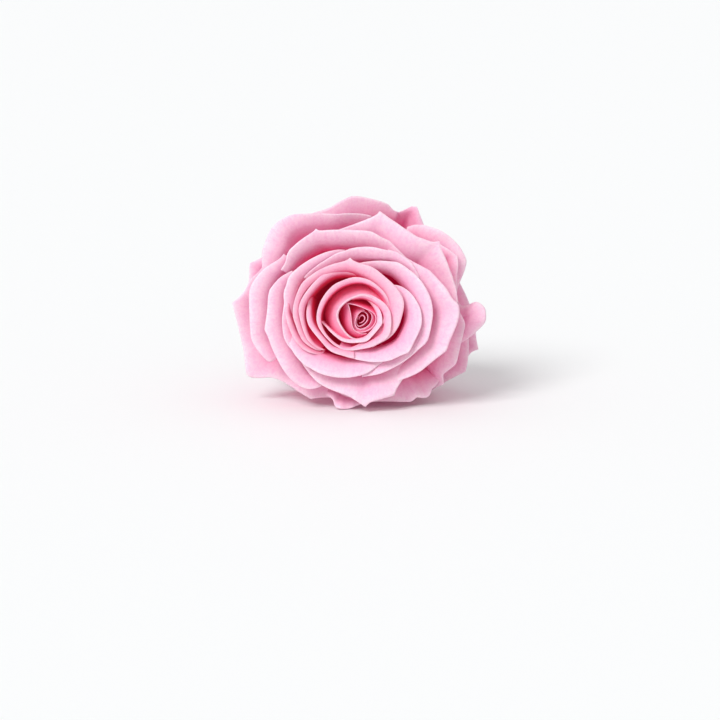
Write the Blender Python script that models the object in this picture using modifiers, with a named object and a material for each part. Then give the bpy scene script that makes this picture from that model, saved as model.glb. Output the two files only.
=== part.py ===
# A preserved rose: one pink bloom lying on its side, with its green calyx and a short cut stem.
# Everything is shaped in the flower's own frame, in millimetres: X to the right, Y up the face and
# Z out along the axis, and is then tipped over as one, so that the face looks along -Y and a little up.
import bpy
import bmesh
import numpy as np
from math import cos, pi, radians, sin
from mathutils import Matrix

MM = 0.001
BLOOM_WIDTH = 70.0
FACE_TILT = 12.3
PETAL_THICKNESS = 0.7
LIP_END = -60.0
LIP_PULL_IN = 40.0

# The photograph's scale and the pixel where the axis comes out of the face.
PIXELS_ACROSS = 254
SCALE = BLOOM_WIDTH / PIXELS_ACROSS
AXIS_PIXEL = (358, 308)

# The surface the rose lies on, in millimetres under the axis' foot, how far above it the middle of a
# flattened petal stays, which lets the edges of upright petals reach it too, and how softly it bends.
FLOOR = -20.4
FLAT_MIDDLE = -0.08
SOFTNESS = 0.15

# The receptacle that all petals grow from, and what is green behind it.
RECEPTACLE_RADII = (6.8, 6.8, 7.5)
RECEPTACLE_CENTRE = 5.0
BACK_PLANE = -0.6
SEAM = 0.3
HIP_RADII = (5.2, 5.2, 6.0)
STEM_RADIUS = 2.6
STEM_END = -17.0
SEPAL_LENGTH = 17.0
SEPAL_WIDTH = 6.4
SEPAL_THICKNESS = 0.9
SEPAL_COUNT = 5

# Columns and rows of faces on a petal: up its length and over its lip.
SMALL_GRID = (7, 2, 1)
LARGE_GRID = (9, 2, 1)

TIP = True

# How a petal of each rank leaves the receptacle: root radius and height in millimetres, the angle it
# starts at, how much of its spread the root keeps, and how far its two ends pull the curve between.
ROOTS = {
    "heart": (2.0, 9.0, 85, 0.6, 0.35, 0.35),
    "inner": (3.5, 7.5, 72, 0.6, 0.40, 0.35),
    "ring": (4.5, 6.0, 55, 0.55, 0.50, 0.40),
    "middle": (5.2, 4.5, 24, 0.5, 0.56, 0.40),
    "open": (5.4, 3.2, 6, 0.6, 0.58, 0.38),
    "outer": (5.0, 2.2, -6, 0.8, 0.60, 0.35),
}

# Each petal: its rank, the pixel its lip turns away from, the height of its rim and the radius of its
# lip in millimetres at start, middle and end, its lean in degrees, and its rim as read off the
# photograph by hand, in pixels. TIP marks a sharp corner.
PETALS = {
    "heart_inner": ("heart", (362, 320), (37, 39, 38), (0.3, 0.3, 0.3), 95, [
        (357, 328), (361, 328), (365, 326), (368, 322), (369, 317), (367, 313), (364, 311), (360, 312)]),
    "heart_middle": ("heart", (362, 320), (37, 39, 39), (0.3, 0.3, 0.3), 95, [
        (352, 323), (354, 328), (358, 332), (364, 331), (370, 328), (373, 322), (374, 316), (371, 312),
        (366, 309), (361, 310)]),
    "heart_flap": ("heart", (361, 320), (38, 40, 38), (0.3, 0.3, 0.3), 98, [
        (364, 334), (370, 330), (375, 326), (377, 320), (376, 315), (371, 312), (364, 308), (357, 306),
        (348, 304)]),
    "heart_outer": ("heart", (361, 320), (38, 39, 38), (0.3, 0.3, 0.3), 108, [
        (348, 304), (350, 310), (350, 316), (351, 322), (352, 328), (355, 332), (360, 334), (366, 334)]),
    "cup_left": ("inner", (358, 316), (39, 40, 39), (0.3, 0.3, 0.3), 108, [
        (371, 302), (366, 298), (355, 298), (345, 303), (338, 312), (338, 320), (343, 329), (350, 336),
        (359, 337)]),
    "cup_right": ("inner", (356, 318), (38, 41, 39), (0.4, 0.8, 0.6), 92, [
        (323, 322), (338, 335), (350, 340), (362, 338), (373, 330), (378, 318), (376, 307), (369, 300)]),
    "ring_top": ("inner", (356, 308), (40, 41, 39), (0.4, 0.7, 0.4), 92, [
        (389, 311), (382, 302), (374, 290), (366, 284), (356, 283), (345, 286), (338, 290), (330, 300),
        (323, 310), (322, 322), (327, 336)]),
    "ring_right": ("inner", (362, 316), (39, 41, 40), (0.4, 0.8, 0.4), 72, [
        (368, 350), (380, 342), (390, 331), (391, 320), (391, 312), (385, 297), (374, 286)]),
    "ring_left": ("ring", (358, 308), (39, 42, 40), (0.8, 1.6, 1.0), 62, [
        (310, 298), (306, 313), (312, 329), (322, 342), (335, 353), (354, 358, TIP), (358, 350)]),
    "ring_crown": ("ring", (358, 308), (41, 41, 39), (0.4, 0.7, 0.4), 78, [
        (375, 277), (358, 273), (345, 270), (330, 272), (315, 282), (304, 296), (299, 310), (301, 325),
        (309, 338)]),
    "ring_low": ("ring", (358, 308), (40, 41, 40), (0.8, 1.4, 1.0), 68, [
        (372, 348), (384, 342), (394, 332), (401, 318), (404, 305), (399, 292), (388, 280), (370, 273)]),
    "crown": ("ring", (358, 308), (39, 41, 38), (0.8, 1.6, 0.8), 62, [
        (399, 292), (389, 282), (381, 274), (370, 266), (356, 263), (350, 258, TIP), (340, 262),
        (325, 268), (310, 277), (301, 286), (294, 304), (293, 317), (301, 335), (312, 346), (325, 350)]),
    "crown_back": ("ring", (358, 308), (38, 39, 37), (0.6, 1.0, 0.6), 66, [
        (288, 300), (286, 321), (295, 339), (310, 352), (327, 354), (336, 352)]),
    "middle_right": ("middle", (358, 308), (38, 40, 38), (0.8, 1.6, 0.8), 52, [
        (345, 355), (360, 360), (380, 362), (408, 353, TIP), (414, 342), (421, 326), (420, 309),
        (411, 294), (398, 286)]),
    "middle_far_right": ("middle", (358, 308), (36, 38, 38), (0.8, 2.0, 0.8), 52, [
        (362, 377), (375, 375), (393, 368), (425, 344, TIP), (431, 326), (430, 298), (417, 277),
        (399, 264), (378, 261), (358, 264)]),
    "middle_top": ("middle", (358, 308), (36, 38, 37), (0.8, 1.8, 0.8), 50, [
        (419, 279), (413, 266), (402, 256), (390, 252), (374, 248), (358, 248), (345, 252), (332, 256),
        (318, 266), (304, 278)]),
    "middle_left": ("middle", (358, 308), (35, 37, 36), (0.8, 2.0, 0.8), 55, [
        (345, 250), (333, 251), (319, 256), (303, 264), (288, 280, TIP), (284, 291), (284, 303),
        (282, 320), (284, 338), (290, 349), (300, 359)]),
    "middle_low": ("middle", (358, 308), (35, 37, 36), (0.8, 2.2, 0.8), 45, [
        (288, 338), (300, 361), (311, 368), (330, 376), (350, 378), (364, 374), (378, 366), (390, 354)]),
    "open_right": ("open", (358, 308), (31, 34, 32), (1.0, 2.2, 1.0), 42, [
        (392, 384), (410, 376), (446, 351, TIP), (456, 326), (458, 305), (446, 289), (430, 272),
        (410, 260), (388, 250)]),
    "open_top": ("open", (358, 308), (34, 35, 31), (1.0, 2.4, 1.0), 48, [
        (412, 264), (398, 250), (380, 237), (370, 232), (350, 230), (330, 230), (315, 230, TIP),
        (306, 236), (289, 251, TIP), (285, 263), (280, 270)]),
    "open_left": ("open", (358, 308), (33, 34, 31), (1.0, 2.2, 1.0), 46, [
        (292, 271), (278, 280), (270, 290, TIP), (268, 305), (265, 330, TIP), (272, 345), (275, 358),
        (285, 372)]),
    "open_far_left": ("open", (358, 308), (29, 31, 29), (1.0, 2.4, 1.0), 40, [
        (284, 254), (270, 265), (255, 280), (250, 305), (250, 330), (256, 346), (270, 362)]),
    "open_low": ("open", (358, 308), (29, 29, 29), (1.0, 2.6, 1.0), 32, [
        (302, 363), (312, 376), (328, 388), (350, 397), (366, 407, TIP), (380, 400), (394, 396, TIP),
        (402, 380), (406, 374)]),
    "open_pointed": ("open", (358, 308), (26, 31, 28), (1.0, 2.6, 1.0), 40, [
        (458, 303), (455, 285), (449, 268), (443, 254), (439, 243, TIP), (424, 239), (410, 232),
        (396, 223), (380, 212, TIP), (370, 218), (350, 226), (330, 233)]),
    "outer_top": ("outer", (358, 308), (22, 25, 23), (2.0, 4.0, 2.0), 30, [
        (372, 216), (355, 214), (337, 214), (310, 214), (292, 215), (282, 220), (272, 228), (265, 243),
        (262, 257), (264, 272)]),
    "outer_peak": ("outer", (358, 308), (16, 20, 14), (0.6, 1.2, 0.6), 22, [
        (399, 211), (391, 206), (380, 200), (360, 196), (350, 196), (330, 206), (310, 214), (290, 226),
        (268, 250)]),
    "outer_curl": ("outer", (358, 308), (12, 16, 14), (0.6, 1.2, 0.6), 30, [
        (450, 262), (438, 242), (420, 213), (417, 206, TIP), (412, 205, TIP), (399, 211), (384, 218)]),
    "outer_top_right": ("outer", (358, 308), (18, 25, 20), (1.0, 3.6, 1.0), 30, [
        (457, 296), (459, 285), (464, 273), (467, 261), (463, 251), (455, 240), (445, 232), (430, 226),
        (416, 224), (408, 226)]),
    "outer_frill": ("outer", (450, 325), (18, 23, 20), (0.6, 1.2, 0.8), 25, [
        (458, 346), (470, 337), (483, 325), (486, 311), (480, 303), (472, 304), (462, 306), (458, 300)]),
    "outer_right_point": ("outer", (358, 308), (10, 13, 11), (0.4, 0.8, 0.4), 20, [
        (462, 368), (480, 349, TIP), (478, 340), (477, 320), (469, 299), (462, 283, TIP), (452, 266)]),
    "outer_right_low": ("outer", (358, 308), (10, 15, 12), (0.4, 1.0, 0.4), 25, [
        (424, 396), (450, 380), (466, 372, TIP), (469, 360), (470, 343), (468, 322)]),
    "outer_right": ("outer", (358, 308), (18, 24, 22), (0.6, 1.4, 0.6), 30, [
        (434, 388), (444, 384, TIP), (444, 374), (455, 365), (459, 352), (463, 335), (463, 318),
        (459, 311)]),
    "outer_low_right": ("outer", (358, 308), (23, 22, 18), (1.0, 2.4, 1.0), 22, [
        (364, 404), (380, 402), (410, 402, TIP), (417, 398), (428, 397), (432, 389), (440, 380)]),
    "outer_low_curl": ("outer", (358, 308), (28, 30, 28), (0.6, 1.0, 0.6), 15, [
        (326, 395), (333, 400), (337, 408, TIP), (345, 409), (352, 408), (361, 404), (366, 403)]),
    "outer_low_left": ("outer", (358, 308), (16, 18, 20), (1.0, 2.4, 1.0), 25, [
        (243, 352), (246, 376, TIP), (270, 378), (282, 382), (298, 392), (311, 399, TIP), (330, 398),
        (350, 398)]),
    "outer_left": ("outer", (358, 308), (20, 24, 20), (1.0, 2.8, 1.0), 28, [
        (263, 266), (250, 280), (240, 296), (232, 303, TIP), (236, 318), (243, 350), (248, 371)]),
    "outer_scrap_left": ("outer", (358, 308), (12, 14, 12), (0.6, 1.4, 0.6), 26, [
        (284, 236), (262, 255), (249, 262, TIP), (248, 274), (246, 294), (243, 314), (246, 340)]),
    # The two lowest petals at the back, hidden in the photograph, which the rose also lies on.
    "guard_left": ("outer", (358, 308), (8, 9, 8), (0.6, 1.6, 0.6), 12, [
        (262, 352), (276, 372), (294, 388), (314, 396), (336, 398), (352, 396), (366, 390)]),
    "guard_right": ("outer", (358, 308), (8, 10, 8), (0.6, 1.6, 0.6), 12, [
        (350, 392), (368, 397), (386, 398), (404, 394), (422, 384), (438, 368), (450, 350)]),
}
SMALL_RANKS = ("heart", "inner")


# Shared steps

def material(name, colour, roughness):
    """A plain Principled material."""
    made = bpy.data.materials.new(name)
    made.use_nodes = True
    shader = made.node_tree.nodes["Principled BSDF"]
    shader.inputs["Base Color"].default_value = (*colour, 1.0)
    shader.inputs["Roughness"].default_value = roughness
    made.diffuse_color = (*colour, 1.0)
    return made


def mesh_object(name, mesh, collection):
    """An object for a mesh in a collection."""
    made = bpy.data.objects.new(name, mesh)
    collection.objects.link(made)
    return made


def grid_shell(name, points, thickness, collection):
    """A thin solid on a grid of points, split into triangles alike on both faces."""
    rows, columns = points.shape[:2]
    sheet = bmesh.new()
    bmesh.ops.create_grid(sheet, x_segments=columns - 1, y_segments=rows - 1, size=1.0)
    sheet.verts.ensure_lookup_table()
    for vert, place in zip(sheet.verts, points.reshape(-1, 3)):
        vert.co = place
    bmesh.ops.triangulate(sheet, faces=sheet.faces[:])
    mesh = bpy.data.meshes.new(name)
    sheet.to_mesh(mesh)
    sheet.free()
    made = mesh_object(name, mesh, collection)
    solidify = made.modifiers.new("Solidify", "SOLIDIFY")
    solidify.thickness = thickness
    solidify.offset = 0.0
    return made


def ball(name, radii, centre, segments, rings, collection):
    """An egg-shaped solid on the flower's axis."""
    body = bmesh.new()
    bmesh.ops.create_uvsphere(body, u_segments=segments, v_segments=rings, radius=1.0)
    bmesh.ops.transform(body, matrix=Matrix.Diagonal((*radii, 1.0)), verts=body.verts)
    bmesh.ops.translate(body, vec=(0.0, 0.0, centre), verts=body.verts)
    mesh = bpy.data.meshes.new(name)
    body.to_mesh(mesh)
    body.free()
    return mesh_object(name, mesh, collection)


def applied(target):
    """Give the object the mesh that its modifiers make, and drop them."""
    depsgraph = bpy.context.evaluated_depsgraph_get()
    mesh = bpy.data.meshes.new_from_object(target.evaluated_get(depsgraph))
    target.modifiers.clear()
    target.data = mesh


def union(target, others):
    """Join a collection's solids to the target, then remove them."""
    join = target.modifiers.new("Join", "BOOLEAN")
    join.operation = "UNION"
    join.operand_type = "COLLECTION"
    join.collection = others
    join.solver = "MANIFOLD"
    applied(target)
    for other in list(others.objects):
        bpy.data.objects.remove(other, do_unlink=True)
    bpy.data.collections.remove(others)


def cut_below(target, height, name):
    """Take away what lies under a height in the object's own frame."""
    cutter = bmesh.new()
    bmesh.ops.create_cube(cutter, size=200.0)
    bmesh.ops.translate(cutter, vec=(0.0, 0.0, height - 100.0), verts=cutter.verts)
    mesh = bpy.data.meshes.new(name)
    cutter.to_mesh(mesh)
    cutter.free()
    made = mesh_object(name, mesh, cutters)
    made.hide_render = True
    made.display_type = "WIRE"
    cut = target.modifiers.new("Cut", "BOOLEAN")
    cut.operation = "DIFFERENCE"
    cut.object = made
    cut.solver = "MANIFOLD"
    applied(target)
    bpy.data.objects.remove(made, do_unlink=True)


def keep_main_body(target):
    """Drop loose scraps and the skins of sealed hollows, which fills them."""
    body = bmesh.new()
    body.from_mesh(target.data)
    islands = []
    waiting = set(body.verts)
    while waiting:
        island = {waiting.pop()}
        edge = list(island)
        while edge:
            vert = edge.pop()
            for link in vert.link_edges:
                other = link.other_vert(vert)
                if other in waiting:
                    waiting.remove(other)
                    island.add(other)
                    edge.append(other)
        islands.append(island)
    main = max(islands, key=len)
    loose = [vert for vert in body.verts if vert not in main]
    bmesh.ops.delete(body, geom=loose, context="VERTS")
    body.to_mesh(target.data)
    body.free()


# The petals

def rim_curve(pixels, columns):
    """Points along a petal's rim in millimetres, smooth between the corners."""
    points = np.array([((p[0] - AXIS_PIXEL[0]) * SCALE, (AXIS_PIXEL[1] - p[1]) * SCALE) for p in pixels])
    corners = [i for i, p in enumerate(pixels) if len(p) > 2]
    ends = [0] + corners + [len(points) - 1]
    dense = []
    marks = [0]
    step = np.linspace(0.0, 1.0, 9)[1:, None]
    for first, last in zip(ends[:-1], ends[1:]):
        part = points[first:last + 1]
        part = np.vstack([2 * part[0] - part[1], part, 2 * part[-1] - part[-2]])
        for before, start, stop, after in zip(part, part[1:], part[2:], part[3:]):
            dense.append(0.5 * (2 * start + (stop - before) * step
                                + (2 * before - 5 * start + 4 * stop - after) * step ** 2
                                + (3 * start - before - 3 * stop + after) * step ** 3))
        marks.append(8 * last)
    dense = np.vstack([points[:1]] + dense)
    along = np.append(0.0, np.cumsum(np.linalg.norm(np.diff(dense, axis=0), axis=1)))
    stops = np.linspace(0.0, along[-1], columns + 1)
    for mark in marks[1:-1]:
        nearest = 1 + np.argmin(abs(stops[1:-1] - along[mark]))
        stops[nearest] = along[mark]
    rim = np.stack([np.interp(stops, along, dense[:, k]) for k in (0, 1)], axis=1)
    return rim, stops / along[-1]


def swell(values, along):
    """A value at the start, middle and end of the rim, eased between."""
    start, middle, end = values
    side = np.where(along < 0.5, start, end)
    return middle + (side - middle) * (1 - 2 * along) ** 2


def across(directions, angle):
    """Unit vectors that point outward and up at an angle."""
    return np.column_stack([directions * cos(angle), np.full(len(directions), sin(angle))])


def petal_grid(rank, centre, heights, lips, lean, rim_pixels):
    """A petal's surface from its root, up to the rim and over the rolled lip."""
    columns, body_rows, lip_rows = SMALL_GRID if rank in SMALL_RANKS else LARGE_GRID
    root_radius, root_height, start_angle, spread, first_pull, last_pull = ROOTS[rank]
    rim, along = rim_curve(rim_pixels, columns)
    middle = np.array([(centre[0] - AXIS_PIXEL[0]) * SCALE, (AXIS_PIXEL[1] - centre[1]) * SCALE])
    outward = rim - middle
    outward /= np.linalg.norm(outward, axis=1)[:, None]
    lip = swell(lips, along)[:, None]
    top = swell(heights, along)[:, None]
    lean = radians(lean)
    end = radians(LIP_END) if lean < pi / 2 else lean - radians(LIP_PULL_IN)
    crest = np.column_stack([rim - outward * lip * (sin(lean) - sin(end)), top - lip * (1 - cos(lean))])

    turn = np.unwrap(np.arctan2(outward[:, 1], outward[:, 0]))
    turn = turn[columns // 2] + (turn - turn[columns // 2]) * spread
    root_way = np.column_stack([np.cos(turn), np.sin(turn)])
    root = np.column_stack([root_way * root_radius, np.full(columns + 1, root_height)])
    reach = np.linalg.norm(crest - root, axis=1)[:, None]
    first = root + reach * first_pull * across(outward, radians(start_angle))
    second = crest - reach * last_pull * across(outward, lean)

    rows = []
    for t in np.linspace(0.0, 1.0, body_rows + 1):
        rows.append((1 - t) ** 3 * root + 3 * (1 - t) ** 2 * t * first
                    + 3 * (1 - t) * t * t * second + t ** 3 * crest)
    for turned in np.linspace(lean, end, lip_rows + 1)[1:]:
        roll = np.column_stack([outward * lip * (sin(lean) - sin(turned)), lip * (cos(turned) - cos(lean))])
        rows.append(crest + roll)
    return np.array(rows)


def rest_on_floor(points):
    """Bend what would go under the surface so that it lies along it."""
    tilt = radians(FACE_TILT)
    level = points[..., 1] * cos(tilt) + points[..., 2] * sin(tilt) - FLOOR - FLAT_MIDDLE
    lift = 0.5 * (level + np.sqrt(level ** 2 + SOFTNESS ** 2)) - level
    bent = points.copy()
    bent[..., 1] += lift * cos(tilt)
    bent[..., 2] += lift * sin(tilt)
    return bent


# The calyx

def sepal_grid(number):
    """One pointed sepal, from under the hip's shoulder and bent back a little towards the stem."""
    turn = radians(90 + 360 / SEPAL_COUNT * number)
    out = np.array([cos(turn), sin(turn), 0.0])
    side = np.array([-sin(turn), cos(turn), 0.0])
    up = np.array([0.0, 0.0, 1.0])
    rows = []
    for t in np.linspace(0.0, 1.0, 8):
        width = SEPAL_WIDTH * (0.25 + 1.6 * t) * (1 - t) ** 0.8 + 0.5
        spine = out * (3.0 + SEPAL_LENGTH * t) - up * (2.4 + 3.0 * t * t)
        rows.append([spine + side * width * k + up * 0.25 * width * abs(k) for k in (-0.5, 0.0, 0.5)])
    return np.array(rows)


# Making the rose

for old in list(bpy.data.objects):
    bpy.data.objects.remove(old, do_unlink=True)
rose = bpy.data.collections.new("preserved_rose")
bpy.context.scene.collection.children.link(rose)
cutters = bpy.data.collections.new("cutters")
bpy.context.scene.collection.children.link(cutters)

# The bloom: every petal joined to the receptacle, cut flat at its back and where it lies.
petals = bpy.data.collections.new("petals")
bpy.context.scene.collection.children.link(petals)
for petal_name, petal_sizes in PETALS.items():
    shaped = rest_on_floor(petal_grid(*petal_sizes))
    petal = grid_shell(petal_name, shaped, PETAL_THICKNESS, petals)
    applied(petal)
bloom = ball("bloom", RECEPTACLE_RADII, RECEPTACLE_CENTRE, 20, 12, rose)
union(bloom, petals)
cut_below(bloom, BACK_PLANE, "back_cutter")
bloom.data.materials.clear()
bloom.data.materials.append(material("pink_petal", (0.80, 0.30, 0.42), 0.6))

# The calyx: the hip, the cut stem under it and five sepals.
green = bpy.data.collections.new("green")
bpy.context.scene.collection.children.link(green)
for number in range(SEPAL_COUNT):
    sepal = grid_shell("sepal", sepal_grid(number), SEPAL_THICKNESS, green)
    applied(sepal)
stem_top = BACK_PLANE - HIP_RADII[2]
stem_mesh = bpy.data.meshes.new("stem")
stem_body = bmesh.new()
bmesh.ops.create_cone(stem_body, cap_ends=True, segments=16, radius1=STEM_RADIUS, radius2=STEM_RADIUS,
                      depth=stem_top - STEM_END)
bmesh.ops.translate(stem_body, vec=(0.0, 0.0, (stem_top + STEM_END) / 2), verts=stem_body.verts)
stem_body.to_mesh(stem_mesh)
stem_body.free()
mesh_object("stem", stem_mesh, green)
calyx = ball("calyx", HIP_RADII, BACK_PLANE - SEAM - 3.0, 20, 12, rose)
union(calyx, green)
top_cutter = bmesh.new()
bmesh.ops.create_cube(top_cutter, size=200.0)
bmesh.ops.translate(top_cutter, vec=(0.0, 0.0, BACK_PLANE - SEAM + 100.0), verts=top_cutter.verts)
top_mesh = bpy.data.meshes.new("top_cutter")
top_cutter.to_mesh(top_mesh)
top_cutter.free()
top_object = mesh_object("top_cutter", top_mesh, cutters)
top_cut = calyx.modifiers.new("Cut", "BOOLEAN")
top_cut.operation = "DIFFERENCE"
top_cut.object = top_object
top_cut.solver = "MANIFOLD"
applied(calyx)
bpy.data.objects.remove(top_object, do_unlink=True)
calyx.data.materials.clear()
calyx.data.materials.append(material("green_calyx", (0.16, 0.22, 0.07), 0.7))

# Tip both over on their side and set the bloom on the ground.
tip_over = Matrix.Rotation(radians(90 - FACE_TILT), 4, "X")
for part in (bloom, calyx):
    part.data.transform(tip_over)
cut_below(bloom, FLOOR, "floor_cutter")
corners = np.array([vert.co[:] for part in (bloom, calyx) for vert in part.data.vertices])
low = corners.min(axis=0)
high = corners.max(axis=0)
to_ground = Matrix.Translation((-(low[0] + high[0]) / 2, -(low[1] + high[1]) / 2, -low[2]))
for part in (bloom, calyx):
    part.data.transform(Matrix.Scale(MM, 4) @ to_ground)
    keep_main_body(part)
    part.data.update()
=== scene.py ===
import bpy
import numpy as np
from math import cos, radians, sin
from mathutils import Matrix, Vector


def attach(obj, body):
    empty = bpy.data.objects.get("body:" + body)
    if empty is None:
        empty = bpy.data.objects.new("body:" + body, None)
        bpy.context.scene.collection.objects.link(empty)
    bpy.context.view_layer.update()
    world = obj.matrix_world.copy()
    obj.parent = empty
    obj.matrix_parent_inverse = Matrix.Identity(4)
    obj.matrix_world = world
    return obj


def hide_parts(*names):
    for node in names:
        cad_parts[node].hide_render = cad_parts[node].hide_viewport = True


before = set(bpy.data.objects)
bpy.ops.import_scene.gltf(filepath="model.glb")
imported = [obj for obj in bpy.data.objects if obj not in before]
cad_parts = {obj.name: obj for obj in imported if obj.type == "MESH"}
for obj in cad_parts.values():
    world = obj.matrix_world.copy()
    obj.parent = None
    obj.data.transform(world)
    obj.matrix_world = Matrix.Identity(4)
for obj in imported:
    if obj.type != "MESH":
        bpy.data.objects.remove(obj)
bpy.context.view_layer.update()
bpy.ops.object.select_all(action="DESELECT")

# The flower's own frame: X to the right, Y up its face and Z out along its axis, in millimetres.
# The rose lies on its side, so this frame is tipped over and stands on the foot of the axis.
MM = 0.001
FACE_TILT = 12.3
AXIS_FOOT = (-0.287, 12.9, 20.4)
flower_to_world = (Matrix.Translation(Vector(AXIS_FOOT) * MM)
                   @ Matrix.Rotation(radians(90 - FACE_TILT), 4, "X") @ Matrix.Scale(MM, 4))


# The camera looks straight down the flower's axis, from as far away as a long lens stands, and a
# frame of 720 pixels is 198 mm wide at the petals' rims.
BLOOM_WIDTH = 70.0
PIXELS_ACROSS = 254
PIXEL = BLOOM_WIDTH / PIXELS_ACROSS
FRAME_PIXELS = 720
AXIS_PIXEL = (358, 308)
CAMERA_DISTANCE = 1500.0
RIM_HEIGHT = 30.0
SENSOR_WIDTH = 36.0
SIGHT_LIMIT = 20.0
aim = flower_to_world @ Vector(((FRAME_PIXELS / 2 - AXIS_PIXEL[0]) * PIXEL,
                                (AXIS_PIXEL[1] - FRAME_PIXELS / 2) * PIXEL, RIM_HEIGHT))
towards_camera = (flower_to_world.to_3x3() @ Vector((0, 0, 1))).normalized()
bpy.ops.object.camera_add(location=aim + towards_camera * CAMERA_DISTANCE * MM)
camera = bpy.context.object
camera.name = "camera"
camera.rotation_euler = (-towards_camera).to_track_quat("-Z", "Y").to_euler()
camera.data.sensor_width = SENSOR_WIDTH
camera.data.lens = SENSOR_WIDTH * CAMERA_DISTANCE / (FRAME_PIXELS * PIXEL)
camera.data.clip_end = SIGHT_LIMIT
bpy.context.scene.camera = camera


# The studio: a wide white sheet under the rose, one broad, even light from the upper left in front,
# and white walls all round.
SHEET_SIZE = 8.0
SHEET_WHITE = (0.94, 0.95, 0.955, 1)
SHEET_ROUGHNESS = 0.7
KEY_DIRECTION = (-0.45, -0.57, 0.69)
KEY_SPREAD = 28
KEY_STRENGTH = 1.9
WALL_WHITE = (1, 1, 1, 1)
WALL_STRENGTH = 0.64
bpy.ops.mesh.primitive_plane_add(size=SHEET_SIZE, location=(0, 0, 0))
floor = bpy.context.object
floor.name = "floor"
sheet = bpy.data.materials.new("white_sheet")
sheet.use_nodes = True
sheet.node_tree.nodes["Principled BSDF"].inputs["Base Color"].default_value = SHEET_WHITE
sheet.node_tree.nodes["Principled BSDF"].inputs["Roughness"].default_value = SHEET_ROUGHNESS
floor.data.materials.append(sheet)
bpy.ops.object.light_add(type="SUN", location=KEY_DIRECTION)
key_lamp = bpy.context.object
key_lamp.name = "key_lamp"
key_lamp.data.angle = radians(KEY_SPREAD)
key_lamp.data.energy = KEY_STRENGTH
key_lamp.rotation_euler = (-Vector(KEY_DIRECTION)).to_track_quat("-Z", "Y").to_euler()
walls = bpy.data.worlds.new("white_walls")
walls.use_nodes = True
walls.node_tree.nodes["Background"].inputs["Color"].default_value = WALL_WHITE
walls.node_tree.nodes["Background"].inputs["Strength"].default_value = WALL_STRENGTH
bpy.context.scene.world = walls
bpy.context.scene.view_settings.view_transform = "Standard"


# The heart: five small petals wound in a tight spiral round a dark eye. A preserved petal is soft and
# matt with a slight sheen and faintly mottled by the dye. Its pink deepens to crimson down in the
# bloom as painted shade and pales at the rim as a painted highlight. Each is a grid drawn from its
# root up to a rolled lip, and it then gets its wall, as all the others do.
PETAL_ROUGHNESS = 0.62
PETAL_GLOSS = 0.18
VELVET_SHEEN = 0.1
VELVET_TINT = (1.0, 0.6, 0.75, 1)
VELVET_ROUGHNESS = 0.5
SOAK_DEEP = 0.50
SOAK_RIM = 0.85
SOAK_STRENGTH = 1.0
MOTTLE_SWIRL = 1.0
FIBRE_STRETCH = (34.0, 10.0, 1.0)
FIBRE_RELIEF = 0.08
FIBRE_HEIGHT = 0.0002
# Each mottle gives its scale and detail, the noise values between which it sets in, and its tint
# where it is deepest. The fibres come last, because they also give the relief.
DYE_PATCHES = (110.0, 2.0, (0.40, 0.70), (0.985, 0.91, 0.96, 1))
FINE_GRAIN = (1100.0, 3.0, (0.42, 0.66), (0.965, 0.87, 0.95, 1))
FIBRES = (1.0, 4.0, (0.45, 0.75), (0.99, 0.90, 0.94, 1))


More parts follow.
